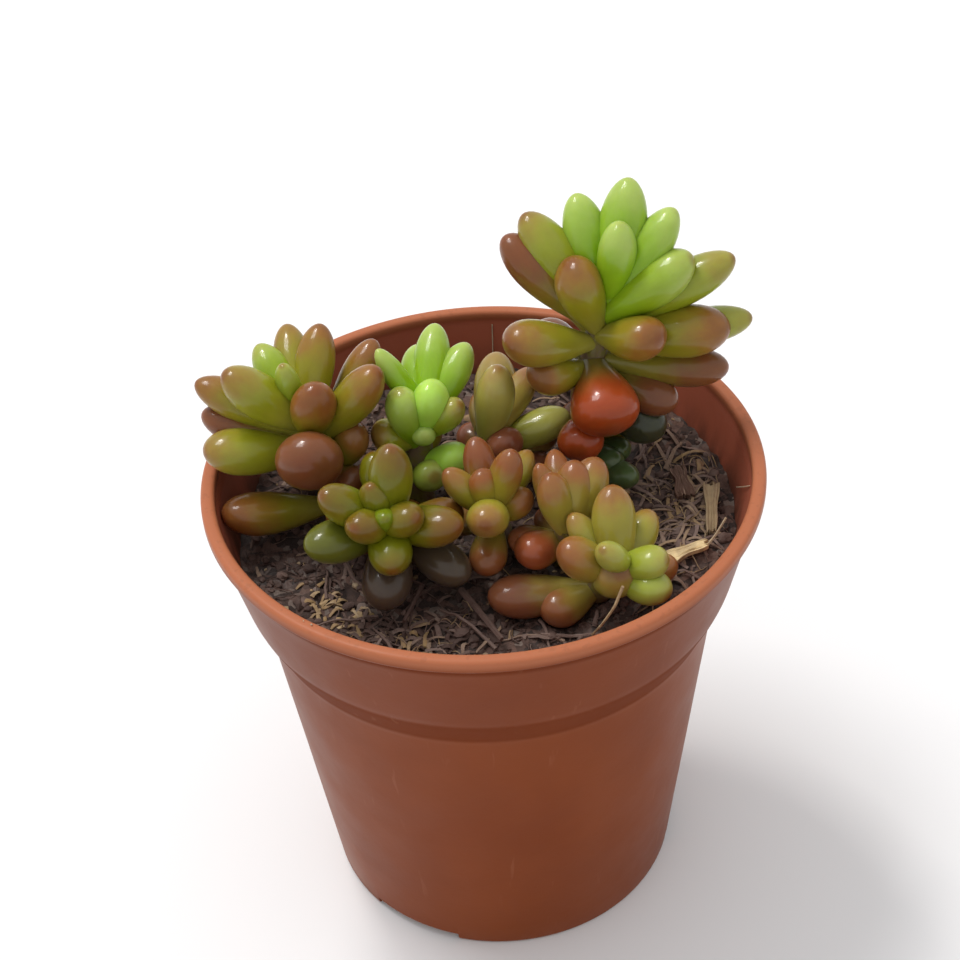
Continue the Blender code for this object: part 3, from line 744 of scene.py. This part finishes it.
def make_rod(centres, radii, sides):
    """A closed rod through points, with a radius at each, bridged from ring to ring."""
    bm = bmesh.new()
    last = len(centres) - 1
    rings = []
    for index, (centre, radius) in enumerate(zip(centres, radii)):
        ahead = centres[min(index + 1, last)] - centres[max(index - 1, 0)]
        place = Matrix.Translation(centre) @ ahead.to_track_quat("Z", "Y").to_matrix().to_4x4()
        made = bmesh.ops.create_circle(bm, cap_ends=index in (0, last), segments=sides, radius=radius,
                                       matrix=place)
        rings.append(made["verts"])
    for lower, upper in zip(rings, rings[1:]):
        bmesh.ops.bridge_loops(bm, edges=ring_edges(lower) + ring_edges(upper))
    bmesh.ops.recalc_face_normals(bm, faces=bm.faces)
    return bm


def make_stem(name, centres):
    thick, thin = STEM_RADIUS
    shares = [0] + [index / (STEM_STATIONS - 1) for index in range(STEM_STATIONS)]
    radii = [(thick + (thin - thick) * share) * (1 + STEM_KNOTS * noise.noise(centre / KNOT_SIZE))
             for share, centre in zip(shares, centres)]
    bm = make_rod(centres, radii, STEM_SIDES)
    bm.verts.index_update()
    remember(bm, [STEM_ALONG] * len(bm.verts), STEM_REDNESS, 1, 0)
    return loose_object(name, bm, leaf_finish)

# %% [markdown]
# ## Leaf and stem in one
#
# The leaves could simply poke into the stem, but light in a leaf would then meet hidden walls, and the
# export would hold them too. A Boolean union makes one skin of them. The Manifold solver is fast, and
# carries the colour attribute over.

# %% Leafy stems
leafy_stems = []
draw = random.Random(5)
for number, (line, paleness, leaves) in enumerate(LEAFY_STEMS, start=1):
    centres = stem_line(*line)
    plant = make_stem(f"jelly_bean_stem_{number}", centres)
    grown = [make_leaf(centres, leaf, paleness, draw) for leaf in leaves]
    combine(plant, "UNION", grown)
    leafy_stems.append(hand_over(plant, "leaf", f"leafy_stem_{number}"))

# %% [markdown]
# ## Peat
#
# Potting soil is dark peat: crumbs of every size, black where damp and grey-brown where dry, with threads
# and splinters in it. A flat disc with a bumpy texture gives itself away at the edge. So the top is a real
# relief, the crumbs on it are small stones, and the finish only adds what is finer.

# %% Soil finish
PEAT_BLACK = (0.034, 0.020, 0.016)
PEAT_BROWN = (0.14, 0.078, 0.059)
PEAT_GREY = (0.24, 0.185, 0.155)
PEAT_WARP = (0.4 * MM, 0.4 * MM, 0.4 * MM)  # how far noise moves the edges of crumbs
# Colours of loose bits, from a tone of 0 to 1
BIT_COLOURS = (
    (0, (0.028, 0.016, 0.013)),
    (0.35, (0.09, 0.052, 0.041)),
    (0.55, (0.25, 0.175, 0.145)),
    (0.72, (0.34, 0.23, 0.14)),
    (0.86, (0.42, 0.27, 0.11)),
    (1, (0.62, 0.50, 0.34)),
)


def paint_peat(tree, where):
    clouds = tree.nodes.new("ShaderNodeTexNoise").outputs["Color"]
    warped = add_node("VectorMath", {0: clouds, 1: PEAT_WARP, 2: where}, operation="MULTIPLY_ADD").outputs[0]
    cells = add_node("TexVoronoi", {"Vector": warped, "Scale": 1300}).outputs["Color"]
    brownness, dryness, _ = add_node("SeparateColor", {0: cells}).outputs
    damp = use(blotches, where, Scale=140, Softness=0.12)
    coat(tree, {
        "Base Color": layered(PEAT_BLACK, (
            (ease(brownness, 0.2, 0.9), 1, PEAT_BROWN),
            (ease(dryness, 0.82, 0.98), 0.8, PEAT_GREY),
            (damp, 0.38, PEAT_BLACK))),
        "Roughness": plus(0.92, (damp, -0.35)),
    }, use(grain, where, Scale=1600), 0.25 * MM)


def paint_bits(tree, where):
    """For crumbs and threads: each has a tone of its own."""
    ramp = add_node("ValToRGB", {0: stored(tree, "tone")["Fac"]})
    steps = ramp.color_ramp.elements
    for index, (place, colour) in enumerate(BIT_COLOURS):
        step = steps[index] if index < 2 else steps.new(place)
        step.position = place
        step.color = (*colour, 1)
    patches = use(blotches, where, Scale=900, Softness=0.25)
    coat(tree, {
        "Base Color": layered(ramp.outputs[0], ((patches, 0.55, PEAT_BROWN),)),
        "Roughness": plus(0.9, (patches, -0.25)),
    }, use(grain, where, Scale=2600), 0.12 * MM)


peat_finish = new_finish("peat", paint_peat)
bits_finish = new_finish("loose bits", paint_bits)

# %% [markdown]
# ## Top of the soil
#
# The relief is a square grid that a formula rounds to a disc, because a fan of triangles would be crowded in
# the middle. Each point gets the soil's height, with its lumps and crumbs, and is pressed down where a leaf
# lies on it.

# %% Soil shape
SOIL_SLOPE = 0.02
LUMPS = ((5.5 * MM, 1 * MM), (2.4 * MM, 0.45 * MM))  # size and height
LUMP_SEED = 3.7
CRUMBS = ((1.5 * MM, 0.55 * MM), (0.7 * MM, 0.28 * MM))
SOIL_CELLS = 170
SOIL_BOTTOM = 3.2 * MM
SOIL_TO_WALL = 0.06 * MM
LEAF_PRESS = 0.25 * MM
SOIL_EDGE = 0.97  # share of the rim past which points go to the wall
UNDER_LEAVES = SOIL_LEVEL - 4 * MM  # where rays that look for leaves start
plants = [surface_of(plant) for plant in leafy_stems]


def wall_radius(height):
    """Inner radius of the pot at a height."""
    for (low_radius, low, _), (high_radius, high, _) in zip(INNER_WALL, INNER_WALL[1:]):
        if height <= high:
            return low_radius + (high_radius - low_radius) * max(0, height - low) / (high - low)
    return MOUTH_RADIUS


def crumb_height(x, y, size, rise):
    """Round crumbs, side by side."""
    distance = noise.voronoi(Vector((x / size, y / size, LUMP_SEED)))[0][0]
    return rise * (0.5 - min(1, distance) ** 2)


def soil_height(x, y):
    height = SOIL_LEVEL + SOIL_SLOPE * x
    for size, rise in LUMPS:
        height += rise * noise.noise(Vector((x / size, y / size, LUMP_SEED)))
    for size, rise in CRUMBS:
        height += crumb_height(x, y, size, rise)
    return height


def make_soil():
    rim = wall_radius(SOIL_LEVEL)
    bm = bmesh.new()
    bmesh.ops.create_grid(bm, x_segments=SOIL_CELLS, y_segments=SOIL_CELLS, size=1)
    for vert in bm.verts:
        u, v = vert.co.xy
        x = rim * u * math.sqrt(1 - v * v / 2)
        y = rim * v * math.sqrt(1 - u * u / 2)
        height = soil_height(x, y)
        for tree in plants:
            hit = tree.ray_cast(Vector((x, y, UNDER_LEAVES)), UP)[0]
            if hit and hit.z > UNDER_LEAVES + MM:
                height = min(height, hit.z - LEAF_PRESS)
        at_edge = math.hypot(x, y) > SOIL_EDGE * rim
        shrink = (wall_radius(height) - SOIL_TO_WALL) / rim if at_edge else 1
        vert.co = (x * shrink, y * shrink, height)
    border = [edge for edge in bm.edges if edge.is_boundary]
    for height in (BODY_TOP, SOIL_BOTTOM):
        made = bmesh.ops.extrude_edge_only(bm, edges=border)["geom"]
        border = [item for item in made if isinstance(item, bmesh.types.BMEdge) and item.is_boundary]
        for vert in {vert for edge in border for vert in edge.verts}:
            outward = Vector((vert.co.x, vert.co.y, 0)).normalized()
            vert.co = outward * (wall_radius(height) - SOIL_TO_WALL) + height * UP
    bmesh.ops.contextual_create(bm, geom=border)
    bmesh.ops.recalc_face_normals(bm, faces=bm.faces)
    return loose_object("soil_bed", bm, peat_finish)


soil = hand_over(make_soil(), "peat", "soil")

# %% [markdown]
# ## Crumbs, threads and chips
#
# What lies loose on the soil is scattered by a seeded draw, the same every time. Litter gathers in three
# heaps, and a few twigs and white specks have places of their own. A ray from above finds the soil's height.
# Each kind has one form, bent and stretched anew for every copy: with so many, few faces each keep the file
# small.

# %% Ground under a place
DROP_START = 3 * MM
DROP_REACH = 8 * MM
ground = surface_of(soil)


def ground_height(x, y):
    hit = ground.ray_cast(Vector((x, y, POT_HEIGHT)), -UP)[0]
    return hit.z if hit else SOIL_LEVEL


def drop_height(point):
    """Height of the first surface under a point a little above it, or the point's own height."""
    start = point + DROP_START * UP
    hits = [tree.ray_cast(start, -UP, DROP_REACH)[0] for tree in [ground, *plants]]
    return max((hit.z for hit in hits if hit), default=point.z)


def near_leaf(point, distance):
    """Whether a point is inside a leaf or stem, or that close to one."""
    for tree in plants:
        where, normal, _, away = tree.find_nearest(point)
        if away < distance or (point - where).dot(normal) < 0:
            return True
    return False


def random_place(draw, reach):
    """A place on the soil, spread evenly."""
    turn = draw.uniform(0, FULL_TURN)
    out = reach * math.sqrt(draw.random())
    return out * math.cos(turn), out * math.sin(turn)


def form_of(bm):
    """A small mesh to make copies of."""
    mesh = bpy.data.meshes.new("form")
    bm.to_mesh(mesh)
    bm.free()
    return mesh


def copy_form(bm, form, tone):
    """Adds a copy of the form, with its tone, and returns its points."""
    tones = bm.verts.layers.float.get("tone") or bm.verts.layers.float.new("tone")
    bm.from_mesh(form)
    bm.verts.ensure_lookup_table()
    added = bm.verts[-len(form.vertices):]
    for vert in added:
        vert[tones] = tone
    return added

# %% Crumbs
CRUMB_COUNT = 1500
CRUMB_SIZE = (0.18 * MM, 0.75 * MM)
# White specks: place and size in mm
SPECKS = (
    ((18.6, 8, 66.5), 0.3),
    ((17.9, 8.3, 66.4), 0.22),
    ((-17.5, -23.3, 55.1), 0.2),
    ((-18.3, -22.7, 55.1), 0.12),
    ((10.3, -26, 55.1), 0.12),
    ((21.5, 0.8, 49.9), 0.3),
    ((21.9, -0.6, 49.8), 0.22),
    ((21.2, -2.8, 49.5), 0.18),
)


def make_crumbs():
    lump = bmesh.new()
    bmesh.ops.create_icosphere(lump, subdivisions=2, radius=1)
    form = form_of(lump)
    draw = random.Random(11)
    bm = bmesh.new()
    for place, size in SPECKS:
        top = drop_height(Vector(place) * MM)
        middle = Vector((place[0] * MM, place[1] * MM, top + 0.2 * size * MM))
        for vert in copy_form(bm, form, 1):
            vert.co = middle + 0.5 * size * MM * vert.co
    for _ in range(CRUMB_COUNT):
        x, y = random_place(draw, 0.985 * wall_radius(SOIL_LEVEL))
        size = CRUMB_SIZE[0] + (CRUMB_SIZE[1] - CRUMB_SIZE[0]) * draw.random() ** 3
        stretch = Vector((draw.uniform(0.7, 1.3), draw.uniform(0.6, 1.1), draw.uniform(0.5, 0.9))) * size
        turn = Matrix.Rotation(draw.uniform(0, FULL_TURN), 4, "Z")
        spin = turn @ Matrix.Rotation(draw.uniform(-0.5, 0.5), 4, "X")
        seed = draw.uniform(0, 100)
        tone = draw.triangular(0, 0.6, 0.2) if draw.random() < 0.95 else draw.uniform(0.75, 1)
        middle = Vector((x, y, ground_height(x, y) + 0.25 * stretch.z))
        if near_leaf(middle, 1.3 * size) or math.hypot(x, y) + 1.4 * size > wall_radius(middle.z):
            continue
        for vert in copy_form(bm, form, tone):
            rough = 1 + 0.55 * noise.noise(vert.co * 1.1 + Vector((seed, 0, 0)))
            vert.co = middle + spin @ (vert.co * stretch * rough)
    return loose_object("soil_crumbs", bm, bits_finish)


hand_over(make_crumbs(), "peat")

# %% Threads and twigs
THREAD_SIDES = 5
THREAD_STEPS = 7


def thread_form():
    """A straight rod of length 1 along X, to be bent."""
    bm = bmesh.new()
    bmesh.ops.create_cone(bm, cap_ends=True, segments=THREAD_SIDES, radius1=1, radius2=1, depth=1,
                          matrix=Matrix.Rotation(math.pi / 2, 4, "Y"))
    lengthwise = [edge for edge in bm.edges if abs(edge.verts[0].co.x - edge.verts[1].co.x) > 0.5]
    bmesh.ops.subdivide_edges(bm, edges=lengthwise, cuts=THREAD_STEPS - 1, use_grid_fill=True)
    return form_of(bm)


def lay_thread(bm, form, points, radius, tone, flat=1, taper=0.5):
    """Bends one rod through points, thinner towards its far end. A flat one is a strip."""
    last = len(points) - 1
    for vert in copy_form(bm, form, tone):
        place = (vert.co.x + 0.5) * last
        index = min(int(place), last - 1)
        ahead = (points[index + 1] - points[index]).normalized()
        side = ahead.cross(UP).normalized()
        thick = radius * (1 - taper * place / last)
        centre = points[index].lerp(points[index + 1], place - index)
        vert.co = centre + thick * (flat * vert.co.y * side + vert.co.z * side.cross(ahead))


def wander(draw, x, y, heading, length, curl, lift, radius):
    """Points of a thread that lies on the soil and bends as it goes."""
    points = []
    step = length / THREAD_STEPS
    for index in range(THREAD_STEPS + 1):
        arch = lift * math.sin(math.pi * index / THREAD_STEPS)
        points.append(Vector((x, y, ground_height(x, y) + radius + arch)))
        heading += draw.uniform(-curl, curl)
        x += step * math.cos(heading)
        y += step * math.sin(heading)
    return points


# Heaps of litter: middle and spread, along X and Y, in mm
RIGHT_HEAP = (21.5, -1, 3.2, 5.5)
FRONT_HEAP = (-10.5, -18, 4.5, 2)
GOLDEN_HEAP = (-17, -13.5, 2.4, 2.2)
# Kinds of thread: heap, count, lengths and radii (mm), width over thickness, bend per step, lift (mm), tones
THREADS = (
    (None, 330, (1.5, 5), (0.05, 0.10), 1, 0.6, 0.5, (0.1, 0.55)),
    (None, 60, (1.5, 5), (0.05, 0.08), 1, 0.5, 0.9, (0.7, 0.95)),
    (None, 34, (3, 8), (0.16, 0.34), 1, 0.25, 0.4, (0.3, 0.66)),
    (None, 160, (1.5, 4), (0.06, 0.11), 2.6, 0.3, 0.5, (0.15, 0.75)),
    (RIGHT_HEAP, 130, (2, 5), (0.07, 0.12), 2.8, 0.2, 0.7, (0.4, 0.85)),
    (RIGHT_HEAP, 70, (2, 5), (0.05, 0.08), 1, 0.4, 0.9, (0.55, 0.95)),
    (FRONT_HEAP, 105, (0.9, 2.6), (0.08, 0.15), 2.6, 0.2, 0.6, (0.1, 0.85)),
    (FRONT_HEAP, 30, (1, 3), (0.05, 0.08), 1, 0.35, 0.8, (0.5, 0.95)),
    (GOLDEN_HEAP, 42, (0.7, 2), (0.08, 0.16), 2.2, 0.08, 0.3, (0.78, 0.94)),
)
# Twigs and dry stalks: points and radius in mm, tone
TWIGS = (
    (((-3, -13.3, 49.4), (-1.6, -15.6, 49), (-0.4, -17.8, 48.8), (0.9, -20.3, 48.7)), 0.38, 0.36),
    (((-7, -12.4, 49.4), (-7.8, -14.4, 49.2), (-8.9, -17, 48.9)), 0.3, 0.33),
    (((12.9, -22.2, 56.6), (12, -22.6, 54.2), (10.9, -22.4, 52), (9.9, -21.4, 49.6)), 0.17, 0.9),
    (((22.6, -9, 49), (24, -7.6, 49.6), (25.3, -6, 50.6)), 0.17, 0.95),
    (((2.2, 28.25, 53.3), (2.1, 27.5, 50), (2, 27.2, 48.6)), 0.07, 1),
    (((27.25, -0.3, 49.9), (27.6, -2.1, 51.4), (28, -3.9, 53)), 0.08, 1),
)


def make_threads():
    form = thread_form()
    draw = random.Random(23)
    bm = bmesh.new()
    for points, radius, tone in TWIGS:
        lay_thread(bm, form, [Vector(point) * MM for point in points], radius * MM, tone, taper=0.3)
    for heap, count, lengths, radii, flat, curl, lift, tones in THREADS:
        for _ in range(count):
            x, y = random_place(draw, 0.95 * wall_radius(SOIL_LEVEL))
            if heap:
                x = draw.gauss(heap[0], heap[2]) * MM
                y = draw.gauss(heap[1], heap[3]) * MM
            radius = draw.uniform(*radii) * MM
            points = wander(draw, x, y, draw.uniform(0, FULL_TURN), draw.uniform(*lengths) * MM, curl,
                            draw.uniform(0, lift) * MM, radius)
            tone = draw.uniform(*tones)
            thickest = max(2, flat) * radius
            outside = any(math.hypot(point.x, point.y) > wall_radius(point.z) - thickest for point in points)
            if outside or any(near_leaf(point, 0.75 * thickest) for point in points):
                continue
            lay_thread(bm, form, points, radius, tone, flat)
    return loose_object("soil_threads", bm, bits_finish)


hand_over(make_threads(), "peat")

# %% [markdown]
# ## Wood chip and bark chips
#
# Three splinters lie on the soil at the right. Split wood is ridged along its fibres and ragged at its ends.
# A box would show none of that, so each chip is a grid, lifted by noise that is fast across the fibres and
# slow along them, and made solid.

# %% Chip finish
STRAW = (0.85, 0.66, 0.36)
STRAW_SPLIT = (0.30, 0.17, 0.07)
BARK = (0.11, 0.055, 0.035)
BARK_SPLIT = (0.40, 0.27, 0.19)


def paint_chip(tree, where):
    fibres = tree.nodes.new("ShaderNodeUVMap")
    fibres.uv_map = "fibres"
    barkiness = stored(tree, "barkiness")["Fac"]
    streaks = fog(stretched(fibres.outputs[0], (2.2, 12, 1)), 1, 5)
    splits = ease(streaks, 0.5, 0.7)
    dirt = use(blotches, where, Scale=700)
    coat(tree, {
        "Base Color": layered(STRAW, (
            (splits, 1, STRAW_SPLIT),
            (barkiness, 1, tint(splits, BARK, BARK_SPLIT)),
            (dirt, 0.3, PEAT_BROWN))),
        "Roughness": plus(0.7, (streaks, 0.25)),
    }, streaks, 0.15 * MM)


chip_finish = new_finish("split wood", paint_chip)

# %% Chips
# Place (mm), turn and tip in degrees, size (mm), share of the width left at the end, share of bark
CHIPS = {
    "wood_chip": ((20.5, -9.5), 20, 8, (5.2, 2, 0.8), 0.5, 0),
    "bark_chip_1": ((24.3, -2.2), 83, 4, (7.4, 1, 0.8), 1.8, 0.6),
    "bark_chip_2": ((21.6, 2.4), 98, 10, (4.4, 2.1, 1.1), 0.7, 1),
}
CHIP_ARCH = 0.3  # how far its middle stands up, over its thickness
CHIP_WAVE = (0.15, 9)  # how much its width swells, and how fast along it
CHIP_ROWS = (40, 14)
CHIP_FILL = 0.96  # its length and width over those of its solid
CHIP_RAGGED = 0.12  # how far fibres stand out at its ends, over its length
CHIP_RIDGE = 0.28  # height of the ridges, over its thickness
CHIP_SHEET = 0.6  # thickness of the sheet, over its thickness


def make_chip(name, place, turn, tip, size, narrow, bark):
    length, width, thick = (value * MM for value in size)
    swell, speed = CHIP_WAVE
    seed = Vector((0, 0, length / MM))
    bm = bmesh.new()
    bmesh.ops.create_grid(bm, x_segments=CHIP_ROWS[0], y_segments=CHIP_ROWS[1], size=0.5, calc_uvs=False)
    fibres = bm.loops.layers.uv.new("fibres")
    for face in bm.faces:
        for loop in face.loops:
            loop[fibres].uv = loop.vert.co.xy
    barkiness = bm.verts.layers.float.new("barkiness")
    for vert in bm.verts:
        vert[barkiness] = bark
        along, across = vert.co.x + 0.5, vert.co.y
        ragged = CHIP_RAGGED * noise.noise(Vector((across * 9, along * 2, 0)) + seed)
        ragged *= abs(2 * along - 1) ** 3
        ridge = noise.noise(Vector((along * 1.5, across * 7, 4)) + seed)
        vert.co.x = (vert.co.x + ragged) * length * CHIP_FILL
        vert.co.y *= width * (1 - (1 - narrow) * along + swell * math.sin(speed * along)) * CHIP_FILL
        vert.co.z = thick * (CHIP_ARCH * math.sin(math.pi * along) + CHIP_RIDGE * ridge)
    bmesh.ops.solidify(bm, geom=bm.faces[:], thickness=CHIP_SHEET * thick)
    bmesh.ops.recalc_face_normals(bm, faces=bm.faces)
    bmesh.ops.transform(bm, matrix=aimed(turn, tip), verts=bm.verts)
    low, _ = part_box(name)
    lowest = min(vert.co.z for vert in bm.verts)
    bmesh.ops.translate(bm, verts=bm.verts, vec=(place[0] * MM, place[1] * MM, low.z - lowest))
    return loose_object(f"{name}_split", bm, chip_finish)


for chip_name, chip in CHIPS.items():
    hand_over(make_chip(chip_name, *chip), "chip", chip_name)

# %% [markdown]
# ## Floor and light
#
# The pot stands on a pale floor. A small lamp nearly overhead gives each leaf its one glint, as a ceiling
# light does. A wider one from the upper left throws the soft shadow to the lower right, and a white sky
# fills in the rest.

# %% Floor
FLOOR_PALE = (0.86, 0.86, 0.87)
FLOOR_WHITE = (0.9, 0.9, 0.91)
FLOOR_HALF_WIDTH = 4


def paint_floor(tree, where):
    clouds = use(blotches, where, Scale=3, Softness=0.4)
    coat(tree, {"Base Color": tint(clouds, FLOOR_PALE, FLOOR_WHITE), "Roughness": 0.8})


floor_shape = bmesh.new()
bmesh.ops.create_grid(floor_shape, x_segments=1, y_segments=1, size=FLOOR_HALF_WIDTH)
floor = loose_object("floor", floor_shape, new_finish("pale floor", paint_floor))

# %% Lights
MIDDLE = Vector((0, 0, 0.05))
LAMPS = (
    # Name, width in metres, power, distance, direction and colour
    ("ceiling", 0.12, 1.8, 0.8, (-0.27, 0.37, 0.88), (1, 0.97, 0.93)),
    ("window", 0.24, 1.85, 0.75, (-0.366, 0.166, 0.915), (1, 1, 1)),
)
SKY_STRENGTH = 0.76

for name, size, power, distance, direction, colour in LAMPS:
    lamp = bpy.data.lights.new(name, "AREA")
    lamp.size = size
    lamp.energy = power
    lamp.color = colour
    item = put(name, lamp)
    item.location = MIDDLE + distance * Vector(direction)
    item.rotation_mode = "QUATERNION"
    item.rotation_quaternion = (MIDDLE - item.location).to_track_quat("-Z", "Y")

world = bpy.data.worlds.new("white room")
world.use_nodes = True
sky = world.node_tree.nodes["Background"]
sky.inputs["Color"].default_value = (1, 1, 1, 1)
sky.inputs["Strength"].default_value = SKY_STRENGTH
scene.world = world
scene.view_settings.view_transform = "Standard"
